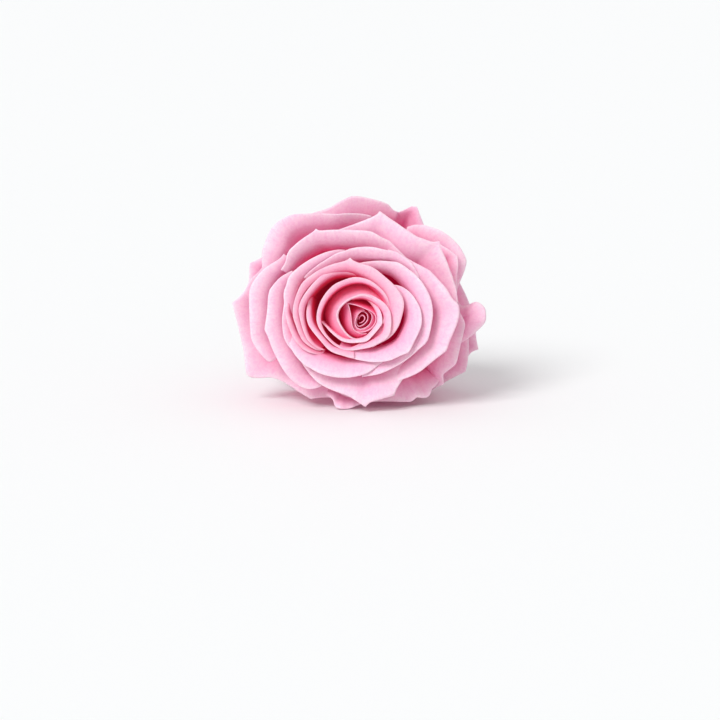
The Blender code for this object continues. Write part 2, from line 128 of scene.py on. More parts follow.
def petal_material(name, pinks_and_painted_light, depths, glow):
    """The pink of a petal, from its UV map: U along the rim, V from root to rim and over the lip. Deep down
    it is painted shade and at the rim a painted highlight.
    """
    made = bpy.data.materials.new(name)
    made.use_nodes = True
    nodes = made.node_tree.nodes
    links = made.node_tree.links
    shader = nodes["Principled BSDF"]
    shader.inputs["Roughness"].default_value = PETAL_ROUGHNESS
    shader.inputs["Specular IOR Level"].default_value = PETAL_GLOSS
    shader.inputs["Sheen Weight"].default_value = VELVET_SHEEN
    shader.inputs["Sheen Tint"].default_value = VELVET_TINT
    shader.inputs["Sheen Roughness"].default_value = VELVET_ROUGHNESS

    place = nodes.new("ShaderNodeUVMap")
    split = nodes.new("ShaderNodeSeparateXYZ")
    links.new(place.outputs["UV"], split.inputs["Vector"])
    # the ramp gives crimson at low V as painted shade and pale pink at the rim as a painted highlight
    depth = nodes.new("ShaderNodeValToRGB")
    stops = depth.color_ramp
    stops.elements[0].position, stops.elements[0].color = pinks_and_painted_light[0]
    stops.elements[1].position, stops.elements[1].color = pinks_and_painted_light[-1]
    for position, colour in pinks_and_painted_light[1:-1]:
        stops.elements.new(position).color = colour
    links.new(split.outputs["Y"], depth.inputs["Fac"])

    # a faint red glow, a little stronger deep down, stands for light that soaks through the petals
    soak = nodes.new("ShaderNodeValToRGB")
    soak.color_ramp.elements[0].position = SOAK_DEEP
    soak.color_ramp.elements[0].color = depths
    soak.color_ramp.elements[1].position = SOAK_RIM
    soak.color_ramp.elements[1].color = glow
    links.new(split.outputs["Y"], soak.inputs["Fac"])
    links.new(soak.outputs["Color"], shader.inputs["Emission Color"])
    shader.inputs["Emission Strength"].default_value = SOAK_STRENGTH

    where = nodes.new("ShaderNodeTexCoord")
    stretch = nodes.new("ShaderNodeMapping")
    stretch.inputs["Scale"].default_value = FIBRE_STRETCH
    links.new(place.outputs["UV"], stretch.inputs["Vector"])
    tint = depth.outputs["Color"]
    for vector, mottling in ((where.outputs["Object"], DYE_PATCHES), (where.outputs["Object"], FINE_GRAIN),
                             (stretch.outputs["Vector"], FIBRES)):
        scale, detail, ends, deep = mottling
        mottle = nodes.new("ShaderNodeTexNoise")
        mottle.inputs["Scale"].default_value = scale
        mottle.inputs["Detail"].default_value = detail
        mottle.inputs["Distortion"].default_value = MOTTLE_SWIRL
        links.new(vector, mottle.inputs["Vector"])
        amount = nodes.new("ShaderNodeMapRange")
        amount.inputs["From Min"].default_value, amount.inputs["From Max"].default_value = ends
        links.new(mottle.outputs["Fac"], amount.inputs["Value"])
        shade = nodes.new("ShaderNodeMix")
        shade.data_type = "RGBA"
        shade.blend_type = "MULTIPLY"
        shade.inputs["B"].default_value = deep
        links.new(amount.outputs["Result"], shade.inputs["Factor"])
        links.new(tint, shade.inputs["A"])
        tint = shade.outputs["Result"]
    links.new(tint, shader.inputs["Base Color"])
    bump = nodes.new("ShaderNodeBump")
    bump.inputs["Strength"].default_value = FIBRE_RELIEF
    bump.inputs["Distance"].default_value = FIBRE_HEIGHT
    links.new(mottle.outputs["Fac"], bump.inputs["Height"])
    links.new(bump.outputs["Normal"], shader.inputs["Normal"])
    return made


PETAL_PINK = petal_material("preserved_petal", [
    (0.0, (0.88, 0.04, 0.15, 1)), (0.45, (0.90, 0.14, 0.31, 1)), (0.68, (0.905, 0.33, 0.51, 1)),
    (0.88, (0.91, 0.49, 0.65, 1)), (0.96, (0.92, 0.61, 0.735, 1)), (1.0, (0.94, 0.75, 0.825, 1))],
    (0.06, 0.001, 0.012, 1), (0.035, 0.001, 0.012, 1))
# A darker copy of the petal pink for the petals deep in the bloom: its deeper crimson is painted shade.
DEEP_SHADE_PINK = petal_material("deep_shade_petal", [
    (0.0, (0.76, 0.008, 0.055, 1)), (0.45, (0.85, 0.045, 0.15, 1)), (0.72, (0.90, 0.22, 0.38, 1)),
    (0.88, (0.93, 0.42, 0.56, 1)), (1.0, (0.95, 0.69, 0.77, 1))],
    (0.045, 0.001, 0.006, 1), (0.04, 0.001, 0.010, 1))
TIP = True
RIM_STEPS = 16
RIM_SMOOTHINGS = 40
CREASE_SMOOTHINGS = 24
FLOOR_SOFTNESS = 0.04
RIM_WAVES = (17, 7)
# Each petal gives the pixel that its lip turns away from, the height that it rises to and the lip's
# width in millimetres, its lean where the lip begins and at the rim in degrees, how early the lip
# turns, and the rim, read off the photograph in its pixels, with TIP at a sharp corner. Where
# there are three or five values in one place, they are evenly spaced along the rim.
HEART_PETALS = {
    "heart_eye": ((361.8, 319.6), (36.6, 37.6, 36.8), (0.2, 0.4, 0.2), 96, 50, 1.5, [
        (358.8, 319.6), (359.2, 317.4), (360.8, 315.7), (363, 315.3), (364.7, 316.8), (365, 319.2),
        (363.6, 321.6), (361.4, 323), (359.2, 323.4)]),
    "heart_first": ((361.8, 319.6), (37.0, 38.2, 37.0), (0.3, 0.8, 0.3), 112, 70, 1.2, [
        (361.2, 311.6), (364.4, 311.9), (366.8, 313.8), (368, 316.8), (367.5, 320.2), (365.2, 323.5),
        (362.2, 325.7), (359, 326.7), (357, 325.2), (356.3, 322.4), (356.8, 319.2), (358.4, 316)]),
    "heart_inner": ((363, 320), (37.6, 38.9, 38.2), (0.5, 1.2, 0.5), 140, 105, 1, [
        (364.6, 310.6), (361.4, 311.6), (358.6, 314.2), (356.6, 317.6), (355.4, 321.4), (355.4, 325),
        (357.2, 328), (360.8, 329.2), (365, 328), (368.8, 325.2), (371.2, 321.2), (372, 317),
        (370.8, 313.6), (368.2, 311.2)]),
    "heart_flap": ((362, 321), (37.8, 39.2, 39.3), (1.2, 1.2, 0.5, 0.3, 0.3), 116, 50, 1, [
        (352, 330.4), (356.4, 332.2), (361.6, 332.6), (367.6, 331), (372.4, 327.6), (375.4, 323),
        (376.3, 318.4), (374.9, 314.6), (371.4, 311.7), (367, 309.6), (362, 307.4), (357, 305.6),
        (352, 304.3), (348, 303.8)]),
    "heart_outer": ((362, 319), (39.3, 39.4, 38.0), (1.2, 1.4, 0.5), (147, 148, 116), 84, 1, [
        (348, 304), (349.5, 309), (350.6, 314), (351.3, 319), (351.8, 324), (353.2, 328.6), (356.6, 332),
        (361.5, 334), (367, 333.6)]),
}
# A root gives its distance from the axis and its height in millimetres, the angle at which the petal
# leaves it in degrees, its spread as a share of the rim's, and the pull of its curve at each end.
HEART_ROOT = (2.6, 20.0, 85, 0.6, 0.30, 0.30)


def rim_curve(pixels, columns):
    """A petal's rim in millimetres, smooth between the corners, and how far along each point is."""
    points = np.array([((p[0] - AXIS_PIXEL[0]) * PIXEL, (AXIS_PIXEL[1] - p[1]) * PIXEL) for p in pixels])
    corners = [i for i, p in enumerate(pixels) if len(p) > 2]
    ends = [0] + corners + [len(points) - 1]
    dense = [points[:1]]
    marks = []
    step = np.linspace(0.0, 1.0, RIM_STEPS + 1)[1:, None]
    for first, last in zip(ends[:-1], ends[1:]):
        part = points[first:last + 1]
        part = np.vstack([2 * part[0] - part[1], part, 2 * part[-1] - part[-2]])
        for before, start, stop, after in zip(part, part[1:], part[2:], part[3:]):
            dense.append(0.5 * (2 * start + (stop - before) * step
                                + (2 * before - 5 * start + 4 * stop - after) * step ** 2
                                + (3 * start - before - 3 * stop + after) * step ** 3))
        marks.append(RIM_STEPS * last)
    dense = np.vstack(dense)
    run = np.append(0.0, np.cumsum(np.linalg.norm(np.diff(dense, axis=0), axis=1)))
    stops = np.linspace(0.0, run[-1], columns + 1)
    for mark in marks[:-1]:
        nearest = 1 + np.argmin(abs(stops[1:-1] - run[mark]))
        stops[nearest] = run[mark]
    rim = np.stack([np.interp(stops, run, dense[:, k]) for k in (0, 1)], axis=1)
    return rim, stops / run[-1]


def swell(values, along):
    """A smooth run of values through the ones given, which are evenly spaced along the rim."""
    return np.polyval(np.polyfit(np.linspace(0.0, 1.0, len(values)), values, len(values) - 1), along)


def across(directions, angle):
    """Unit vectors that point outward and up at an angle."""
    angle = angle + np.zeros(len(directions))
    return np.column_stack([directions * np.cos(angle)[:, None], np.sin(angle)])


def rest_on_floor(points, clearance):
    """Bend what would go under the surface, in millimetres in the world's frame, so that it lies on it."""
    level = points[..., 2] - clearance
    points[..., 2] += 0.5 * (level + np.sqrt(level ** 2 + FLOOR_SOFTNESS)) - level


def petal_points(root_rule, centre, heights, lips, lean, lip_end, bend, rim_pixels,
                 columns, body_rows, lip_rows, facing, wave_size):
    """A petal's surface in the flower's frame, row by row from its root to the end of its lip."""
    root_radius, root_height, start_angle, spread, first_pull, last_pull = root_rule
    rim, along = rim_curve(rim_pixels, columns)
    middle = np.array([(centre[0] - AXIS_PIXEL[0]) * PIXEL, (AXIS_PIXEL[1] - centre[1]) * PIXEL])
    outward = rim - middle
    outward /= np.linalg.norm(outward, axis=1)[:, None]
    square = np.gradient(rim, axis=0)[:, ::-1] * (1, -1)
    square *= np.sign(np.sum(square * outward, axis=1))[:, None] / np.linalg.norm(square, axis=1)[:, None]
    for _ in range(RIM_SMOOTHINGS):
        square[1:-1] = (square[:-2] + 2 * square[1:-1] + square[2:]) / 4
    outward += facing * square
    outward /= np.linalg.norm(outward, axis=1)[:, None]
    lip = swell(lips, along)
    top = swell(heights, along)
    lean, lip_end, bend = (swell(np.atleast_1d(value), along) for value in (lean, lip_end, bend))
    run = ((np.arange(lip_rows) + 0.5) / lip_rows)[:, None]
    fold = np.radians(lip_end + (lean - lip_end) * (1 - run) ** bend)
    lip_out = lip * np.cumsum(np.cos(fold), axis=0) / lip_rows
    lip_up = lip * np.cumsum(np.sin(fold), axis=0) / lip_rows
    crest = np.column_stack([rim - outward * lip_out[-1][:, None], top - lip_up.max(axis=0)])
    turn = np.unwrap(np.arctan2(outward[:, 1], outward[:, 0]))
    turn = turn[columns // 2] + (turn - turn[columns // 2]) * spread
    root_way = np.column_stack([np.cos(turn), np.sin(turn)])
    root = np.column_stack([root_way * root_radius, np.full(columns + 1, root_height)])
    reach = np.linalg.norm(crest - root, axis=1)[:, None]
    first = root + reach * first_pull * across(outward, radians(start_angle))
    second = crest - reach * last_pull * across(outward, np.radians(lean))
    ripple = np.sin(RIM_WAVES[0] * along + rim[0, 0]) * np.sin(RIM_WAVES[1] * along + rim[0, 1])
    wave = np.column_stack([np.zeros((columns + 1, 2)), ripple])
    wave *= wave_size
    rows = []
    for t in np.linspace(0.0, 1.0, body_rows + 1):
        rows.append((1 - t) ** 3 * root + 3 * (1 - t) ** 2 * t * first
                    + 3 * (1 - t) * t * t * second + t ** 3 * crest + wave * t ** 3)
    for out, up in zip(lip_out, lip_up):
        rows.append(crest + np.column_stack([outward * out[:, None], up]) + wave)
    # a corner's crease is sharp at the rim and fades on its way down
    for depth, row in enumerate(rows[::-1]):
        for _ in range(min(2 * depth, CREASE_SMOOTHINGS)):
            row[1:-1] = (row[:-2] + 2 * row[1:-1] + row[2:]) / 4
    return np.array(rows)


def petal(name, root_rule, sizes, fade, pink=PETAL_PINK, columns=80, body_rows=16, lip_rows=10,
          thickness=0.34, facing=0.3, wave_size=0.3, pale=0.9, edge=1.0):
    """One petal: a grid primitive moved on to its surface, given its thickness and smoothed."""
    points = petal_points(root_rule, *sizes, columns, body_rows, lip_rows, facing, wave_size)
    tipped = points.reshape(-1, 3) @ np.array(flower_to_world.to_3x3()).T
    placed = tipped + np.array(flower_to_world.translation)
    placed = placed.reshape(points.shape) / MM
    rest_on_floor(placed, thickness / 2)
    bpy.ops.mesh.primitive_grid_add(x_subdivisions=columns, y_subdivisions=body_rows + lip_rows, size=1.0)
    made = bpy.context.object
    made.name = name
    made.data.vertices.foreach_set("co", (placed * MM).ravel())
    uv = made.data.uv_layers.active.data
    across_u = np.tile(np.linspace(0, 1, columns + 1), body_rows + lip_rows + 1)
    paces = np.linalg.norm(np.diff(points[:body_rows + 1], axis=0), axis=2).mean(axis=1)
    below = np.append(np.cumsum(paces[::-1])[::-1], 0.0)
    # V falls from pale towards 0 down the body over the length fade, and there the ramp paints shade
    up = np.concatenate([pale * np.exp(-below / fade), np.linspace(pale, edge, lip_rows + 1)[1:]])
    up = np.repeat(up, columns + 1)
    for corner, loop in zip(uv, made.data.loops):
        corner.uv = (across_u[loop.vertex_index], up[loop.vertex_index])
    wall = made.modifiers.new("Wall", "SOLIDIFY")
    wall.thickness = thickness * MM
    wall.offset = 0.0
    bpy.ops.object.modifier_apply(modifier="Wall")
    bpy.ops.object.shade_smooth()
    made.data.materials.append(pink)
    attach(made, "root")
    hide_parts("bloom")


for petal_name, petal_sizes in HEART_PETALS.items():
    petal(petal_name, HEART_ROOT, petal_sizes, fade=3.8, pink=DEEP_SHADE_PINK, pale=0.84, edge=0.92,
          columns=60, lip_rows=4, thickness=0.22, facing=0.0, wave_size=0.0)


# The receptacle: the swollen end of the stem, which petals grow from. It is a ball, a little longer
# than it is wide, cut level at the back where the hip meets it.
RECEPTACLE_RADII = (6.8, 6.8, 7.5)
RECEPTACLE_CENTRE = 5.0
RECEPTACLE_SIDES = 48
BACK_PLANE = -0.6
bpy.ops.mesh.primitive_uv_sphere_add(segments=RECEPTACLE_SIDES, ring_count=RECEPTACLE_SIDES // 2, radius=1.0)
receptacle = bpy.context.object
receptacle.name = "receptacle"
bpy.ops.object.mode_set(mode="EDIT")
bpy.ops.transform.resize(value=RECEPTACLE_RADII)
bpy.ops.transform.translate(value=(0, 0, RECEPTACLE_CENTRE))
bpy.ops.mesh.bisect(plane_co=(0, 0, BACK_PLANE), plane_no=(0, 0, 1), use_fill=True, clear_inner=True)
bpy.ops.object.mode_set(mode="OBJECT")
receptacle.data.transform(flower_to_world)
bpy.ops.object.shade_smooth()
receptacle.data.materials.append(PETAL_PINK)
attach(receptacle, "root")
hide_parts("bloom")


# The two inner petals: thin-lipped, cupped round the heart, and rooted in the top of the receptacle.
# The left one leans in towards the heart.
INNER_PETALS = {
    "cup_left": ((360, 317), (39.4, 40.8, 39.0), (0.7, 1.5, 0.6), (108, 141, 131), 56, 1.3, [
        (383.3, 324), (384.8, 319.5), (385.2, 314.5), (383.8, 309.5), (380.5, 304.5), (376, 300.5),
        (371, 297.5), (366, 295.5), (361, 295), (355, 297), (349, 299.3), (344, 303), (340, 307),
        (337.6, 311.5), (336.8, 316.5), (337.5, 320), (339.5, 324.5), (342.5, 329.5), (346, 334),
        (350, 337.6), (355, 340), (361, 340)]),
    "cup_right": ((357, 318), (38.5, 40.3, 37.5), (0.4, 0.9, 1.3, 1.5, 0.3), 86, 5, 2, [
        (320.5, 321.5), (325, 326), (330, 331.6), (336, 337), (342, 341.2), (350, 343), (358, 342.8),
        (363, 342.2), (367.6, 341), (371, 337.8), (375.5, 332.8), (379.4, 328), (382, 324),
        (382.2, 318.6), (381, 313), (378.6, 308), (375, 303.4), (370.4, 299.6), (365.6, 297.4)]),
}
INNER_ROOT = (4.0, 10.0, 72, 0.6, 0.40, 0.30)
for petal_name, petal_sizes in INNER_PETALS.items():
    petal(petal_name, INNER_ROOT, petal_sizes, fade=17.0, pink=DEEP_SHADE_PINK, facing=0.2, pale=0.92)


# The two tall petals that stand round the inner ones, painted crimson inside as shade and pale at the
# rims as a highlight. They are rooted as high on the receptacle as those and stand almost upright.
WALL_PETALS = {
    "ring_top": ((357, 308), (38.0, 41.4, 41.6, 40.8, 39.0), (0.7, 1.0, 1.3, 0.5, 1.2),
                 (92, 84, 84, 98, 90), 6, 2.5, [
        (387.5, 318), (389, 311), (389.6, 305), (388.2, 299.5), (385, 294), (380, 288.5), (374, 283.6),
        (368, 280.2), (361, 278.2), (354, 277.8), (348, 279.2), (341, 281.8), (335, 284.8), (330, 289),
        (325, 295), (320.8, 302), (318.2, 309), (317, 315), (317, 321), (318.8, 327), (322, 332.5),
        (326.5, 338), (332, 343.5), (338, 347.6), (345, 350.2), (351, 350.4), (356.5, 348.8),
        (361, 345.6), (366, 342.2), (369, 339)]),
    "ring_right": ((362, 318), (40.2, 40.9, 39.4), (0.8, 2.1, 0.3), 76, 0, 2, [
        (350, 351), (357, 350), (364, 348.8), (371, 347.3), (377, 344.3), (383, 341), (387.5, 337.5),
        (390, 332.5), (391, 326), (391.2, 319), (390.3, 313), (388, 308), (384, 303.2), (379, 299.6),
        (373, 296.3), (367, 294.4), (361, 294.2), (356, 295.8), (351, 298.2)]),
}
for petal_name, petal_sizes in WALL_PETALS.items():
    petal(petal_name, INNER_ROOT, petal_sizes, fade=3.4, pink=DEEP_SHADE_PINK, facing=0.2, pale=0.86, edge=0.98)


# The ring of four petals round the deep cavity, with rims painted pale as a highlight. The crown winds
# most of the way round it and has a pointed corner at the top.
RING_PETALS = {
    "ring_left": ((356, 310), (37.2, 40.4, 41.2, 41.0, 40.1), (0.3, 1.5, 1.4, 1.6, 2.3), 74, 4, 2.5, [
        (311, 296), (308.8, 301), (307.6, 306), (306.8, 312), (307, 318), (308.6, 324.6), (311.8, 330),
        (316, 335.4), (321.6, 342), (327, 348.2), (331.8, 351.8), (337, 354), (343, 355.8), (350, 357.9),
        (354.2, 358.6)]),
    "ring_crown": ((358, 308), (38.0, 40.9, 37.6), (0.5, 1.8, 0.3), (74, 74, 102), 0, 1.6, [
        (375, 277), (366, 274.5), (358, 273.3), (352, 272), (345, 270.5), (336, 270.5), (330, 272),
        (322, 276), (315, 282), (309, 289), (304, 296), (300.5, 303), (299, 310), (299.8, 317),
        (301.2, 323), (303.6, 331), (306.4, 337.6), (309, 341.4), (313.6, 345.7), (319, 349),
        (324, 350.4)]),
    "crown": ((358, 308), (39.8, 40.9, 41.8, 41.2, 37.0), (1.6, 5.0, 2.6, 1.4, 0.5), 52, 8, 1.4, [
        (372, 347.5), (377, 345), (383, 341.8), (389, 338.2), (395, 332), (399, 325), (401.6, 317),
        (403.2, 310), (403.8, 304.7), (402.8, 299), (400, 293.3), (396, 288), (392, 283.6), (386, 278.4),
        (381.3, 274.4), (376.4, 270.4), (370, 267), (362, 264.6), (356, 262.6), (352, 260.6),
        (350, 258.3, TIP), (347.6, 260.6), (342, 262.5), (334, 264.5), (326, 267.5), (318, 271.5),
        (310, 277), (305, 281), (301, 286), (297, 295), (294.3, 304), (293.2, 311), (293.6, 318),
        (296, 325), (298.8, 333), (303, 341), (309.6, 346.4), (315.5, 349.8), (320.5, 350.8)]),
    "crown_back": ((358, 308), (38.5, 40.3, 36.4), (0.8, 1.3, 0.5), 60, 4, 1.5, [
        (288, 300), (285.8, 312), (287.6, 322), (290.6, 331), (294.6, 339), (300, 346), (306.5, 351),
        (313, 353.6), (319, 354.4), (323.5, 352.6)]),
}
RING_ROOT = (4.5, 6.0, 55, 0.55, 0.50, 0.26)
for petal_name, petal_sizes in RING_PETALS.items():
    petal(petal_name, RING_ROOT, petal_sizes, fade=3.7, pink=DEEP_SHADE_PINK, facing=0.0, pale=0.84, edge=0.98)


# The five middle petals: broad, with lips that roll outwards. They lie over the open petals and have
# less painted shade inside than the ring, so they are paler there.
MIDDLE_PETALS = {
    "middle_right": ((358, 308), (38.6, 40.9, 38.4), (1.6, 3.4, 2.0), 34, 0, 1.1, [
        (337, 351), (345, 355.6), (353, 358.6), (360, 360.3), (370, 362), (380, 362), (390, 360.5),
        (400, 356), (408, 353, TIP), (410, 350), (414, 342), (418, 334), (421, 326), (421.5, 318),
        (420, 309), (416, 301), (411, 294), (405.5, 289.5), (400, 286.5), (394.5, 285.4), (389, 285)]),
    "middle_far_right": ((358, 308), (38.6, 39.2, 39.8, 39.8, 39.0), (2.2, 4.0, 4.4, 3.6, 2.0),
                         (34, 34, 34, 46, 56), 2, 1.1, [
        (362, 377), (368, 376), (375, 375), (382, 373), (393, 368), (407, 359.5), (419, 349),
        (425, 344, TIP), (428, 339), (431, 326), (432.5, 312), (430, 298), (424, 286), (417, 277),
        (410, 271), (399, 263.5), (390, 262), (378, 261.3), (365, 262.5), (358, 264)]),
    "middle_top": ((358, 308), (38.4, 39.8, 38.4), (1.6, 3.4, 1.6), 44, 10, 1.1, [
        (419, 279), (418, 275), (413, 266), (409, 261), (402, 256), (396, 252.5), (390, 251.5),
        (382, 249.8), (374, 248), (366, 247.5), (358, 248), (350, 249.5), (345, 251.5), (338, 253.5),
        (332, 256.5), (325, 261), (318, 265.5), (310, 272), (304, 278)]),
    "middle_left": ((358, 308), (37.6, 38.9, 37.4), (1.6, 3.6, 1.6), 42, 0, 1.1, [
        (345, 250.3), (338, 250.3), (333, 251), (326, 252.8), (319, 255.5), (311, 259.5), (303, 264.5),
        (296, 270), (291, 275), (288, 280, TIP), (286.5, 286), (284.5, 291), (284, 297), (284.5, 303),
        (283.5, 311), (282.5, 320), (283, 330), (284.5, 338), (288, 345), (292.5, 350), (297, 352)]),
    "middle_low": ((358, 308), (36.6, 39.2, 38.4), (2.0, 4.4, 2.0), 32, -2, 1.1, [
        (294.5, 322), (291.5, 330), (289.6, 338), (290, 345), (294, 353), (300, 360.6), (306, 366),
        (311, 368.5), (320, 373.5), (330, 376.3), (340, 377.7), (350, 377.5), (358, 376), (364, 374.5),
        (371, 371), (378, 365.5), (384, 361), (390, 354)]),
}
MIDDLE_ROOT = (5.2, 4.5, 24, 0.5, 0.56, 0.20)
for petal_name, petal_sizes in MIDDLE_PETALS.items():
    petal(petal_name, MIDDLE_ROOT, petal_sizes, fade=8.0, pale=0.87)


# The six open petals: large, with wide rolled lips, several with pointed corners where two rolled
# edges meet.
OPEN_PETALS = {
    "open_right": ((358, 308), (35.5, 38.2, 37.2), (2.5, 6.5, 2.5), 32, 0, 1.1, [
        (392, 384), (402, 379.5), (410, 376.5), (420, 371.5), (433, 361), (446, 351, TIP), (450, 340),
        (456, 326), (459, 314), (458, 305), (452, 299), (446, 289), (438, 280), (430, 271.5), (424, 268),
        (410, 260.5), (397, 253), (388, 250)]),
    "open_top": ((358, 308), (36, 37.6, 35.6), (2.5, 5.2, 2.5), 48, 14, 1.1, [
        (412, 264), (403, 255), (398, 250), (394, 246), (390, 242), (385, 239.5), (380, 237), (375, 234),
        (370, 232), (360, 231), (350, 230.6), (340, 230.3), (330, 230.6), (324, 231), (319.4, 231.2),
        (316, 229.4, TIP), (313.4, 232.2), (306, 237), (300, 241.4), (294, 246.5), (289.5, 250.8, TIP),
        (287, 256), (285.5, 263), (281, 270)]),
    "open_left": ((358, 308), (35.6, 37, 33.5), (2.5, 6.2, 2.5), 44, -2, 1.1, [
        (292, 271), (283, 276), (278, 280), (273, 286), (270, 290, TIP), (268.5, 297), (268, 305),
        (267, 315), (265.5, 325), (265, 330, TIP), (269, 339), (271, 345), (274, 352), (278, 360),
        (283, 369), (289, 377), (296, 383.5), (304, 388), (313, 389), (322, 386)]),
    "open_far_left": ((358, 308), (32.5, 35, 32), (2.5, 6.5, 2.5), 44, -6, 1.1, [
        (284, 254), (279, 259.5), (270, 265), (262, 271), (255, 280), (250, 290), (249.5, 305),
        (250, 320), (250.5, 330), (252, 340), (256.5, 348.5), (262, 355.5), (267, 360.5), (270.5, 361.6),
        (274, 359.4), (278, 356.6)]),
    "open_low": ((358, 308), (35, 36.8, 34.5), (2.5, 7.5, 3.0), 30, -2, 1.1, [
        (302, 363), (306, 369), (312, 376.5), (318, 382.5), (328, 388.3), (340, 393), (350, 397),
        (358, 402), (365.5, 407, TIP), (370, 402.5), (380, 399.5), (388, 397), (394, 395.5, TIP),
        (397, 388), (402, 380), (407, 371), (412, 361), (416, 352)]),
    "open_pointed": ((358, 308), (32, 36, 34), (2.5, 8.0, 2.5), 34, 6, 1.1, [
        (458, 303), (456.5, 292), (455, 285), (452, 276), (449, 268), (446, 260), (443.2, 254),
        (440.6, 248), (439.4, 241.6, TIP), (433, 242.4), (424, 239.6), (416, 236.5), (410, 232.5),
        (403, 228), (396, 223), (390, 219), (385, 215.4), (379.6, 211.6, TIP), (376, 215.4),
        (370, 218.4), (360, 222.3), (350, 226), (340, 229.5), (330, 233)]),
}
OPEN_ROOT = (5.4, 3.2, 6, 0.6, 0.58, 0.24)
for petal_name, petal_sizes in OPEN_PETALS.items():
    petal(petal_name, OPEN_ROOT, petal_sizes, fade=15.0, pale=0.88)


# The thirteen outer petals round the edge, some seen only as corners, and the two guard petals low at
# the back. What would go under the floor is bent along it, and the rose lies on that.
OUTER_PETALS = {
    "outer_top": ((318, 264), (28, 31, 32, 31, 28), (2.6, 3.2, 4.0, 6.0, 3.8), (32, 30, 34, 40, 40),
                  (14, 12, 6, -12, -16), (1.1, 1.1, 1.2, 2.0, 2), [
        (372, 216), (363, 214), (355, 213.5), (345, 213.5), (337, 214.2), (320, 213.5), (310, 213.7),
        (300, 214.2), (292, 215), (286.5, 216.8), (282, 219.2), (277, 222.7), (272, 228), (268, 235),
        (265, 243), (262.5, 250), (262, 257), (262, 266), (264, 274)]),
    "outer_peak": ((358, 308), (18, 22, 16), (2.0, 7.0, 2.0), 38, 10, 1.1, [
        (399, 211), (394, 209), (391, 206), (388, 203), (380, 200), (370, 197.5), (360, 195.5),
        (353, 195.3), (350, 196), (340, 200.5), (330, 206.5), (320, 210), (310, 213.5), (290, 226),
        (268, 250)]),
    "outer_curl": ((358, 308), (14, 18.5, 16), (2.5, 2.5, 2.0, 1.2, 1.0), 40, (-50, -50, -30, 20, 20), 1.1, [
        (450, 262), (438, 242), (427, 228), (424.5, 224.5), (423, 221), (420, 213), (418, 207),
        (417, 205.5, TIP), (412, 205, TIP), (405, 208.5), (399, 211), (384, 218)]),
    "outer_top_right": ((358, 308), (18, 24.5, 20), (3.0, 7.0, 3.0), 58, 0, 1.1, [
        (457, 296), (458, 290), (459, 285), (461, 280), (464, 273), (466, 267), (467, 261), (466, 257),
        (463, 251), (460, 246), (455, 240.5), (450, 236), (445, 232.5), (440, 229.5), (430, 226),
        (424, 224.5), (416, 224), (408, 226)]),
    "outer_fold": ((358, 308), (21, 26, 23), (1.5, 3.0, 2.0), 62, 10, 1.1, [
        (424, 233), (434, 239), (443, 245.5), (451, 250.5), (457.5, 255.5, TIP), (458.5, 264),
        (457.5, 276), (457, 288), (458, 300)]),
    "outer_frill": ((450, 325), (21, 26, 23), (1.5, 5.0, 2.0), 30, -20, 1.1, [
        (458, 346), (462, 342.5), (470, 337), (477, 331), (483, 325), (486, 320), (486, 311),
        (484, 306.5), (480, 303), (476, 302), (472, 303.5), (468, 305), (462, 305.5), (458, 300)]),
    "outer_right_point": ((358, 308), (10, 13, 11), (1.5, 4.0, 1.5), 40, -10, 1.1, [
        (462, 368), (472, 353), (480, 349, TIP), (478, 340), (477, 331), (476, 318), (469, 299),
        (465, 290), (461.5, 283, TIP), (452, 266)]),
    "outer_right_low": ((358, 308), (10, 15, 12), (1.5, 4.0, 1.5), 42, -10, 1.1, [
        (424, 396), (440, 386), (450, 380), (458, 376), (466, 372, TIP), (467, 370), (469, 360),
        (470, 343), (468, 322)]),
    "outer_right": ((358, 308), (24, 30, 28), (1.5, 4.5, 1.5), 36, -10, 1.1, [
        (434, 388), (440, 386), (444, 384, TIP), (443.5, 378), (444, 374), (450, 369), (455, 365),
        (457, 361), (459, 352), (461, 343), (463, 335), (465, 325), (463, 318), (459, 311)]),
    "outer_low_right": ((358, 308), (30, 30, 26), (2.0, 6.0, 2.0), 30, -4, 1.1, [
        (364, 404), (372, 402), (380, 401.5), (390, 401.5), (400, 401.8), (410, 402, TIP), (414, 400),
        (417, 397.5), (424, 398), (428, 397), (431, 393), (432, 389), (436, 386), (440, 380)]),
    "outer_low_curl": ((358, 308), (32, 33, 32), (1.0, 2.0, 1.0), 35, 5, 1.1, [
        (326, 395), (330, 397), (333, 400), (334.5, 405), (337, 408, TIP), (345, 409.3), (352, 407.5),
        (361, 404), (366, 403)]),
    "outer_low_left": ((358, 308), (25, 28.5, 24.5, 26, 31), (2.0, 5.5, 6.5, 6.0, 2.0),
                       (38, 36, 18, 26, 32), (-5, -5, -8, -5, -5), 1.1, [
        (263, 266), (257, 273), (250, 280), (245, 290), (240, 296), (235, 300.5), (232, 303, TIP),
        (233, 307), (236, 318), (241, 340), (243.5, 352), (244.8, 364), (246, 374.5, TIP), (250, 377.2),
        (256, 378), (270, 377.5), (276, 379), (282, 381.5), (290, 386), (298, 391.5), (306, 396.5),
        (311, 399.3, TIP), (315, 398.5), (322, 397.5), (330, 397.5), (340, 397.5), (350, 398)]),
    "outer_scrap_left": ((358, 308), (12, 14, 12), (1.5, 3.5, 1.5), 42, -10, 1.1, [
        (284, 236), (266, 252), (262, 255.5), (254, 260), (249, 262, TIP), (248.5, 264), (248, 276),
        (246, 294), (243, 314), (246, 340)]),
    "guard_left": ((358, 308), (8, 9, 8), (0.6, 2.0, 0.6), 12, -30, 1, [
        (262, 352), (276, 372), (294, 388), (314, 396), (336, 398), (352, 396), (366, 390)]),
    "guard_right": ((358, 308), (8, 10, 8), (0.6, 2.0, 0.6), 12, -30, 1, [
        (350, 392), (368, 397), (386, 398), (404, 394), (422, 384), (438, 368), (450, 350)]),
}
OUTER_ROOT = (5.0, 2.2, -6, 0.8, 0.60, 0.28)
for petal_name, petal_sizes in OUTER_PETALS.items():
    petal(petal_name, OUTER_ROOT, petal_sizes, fade=80.0)


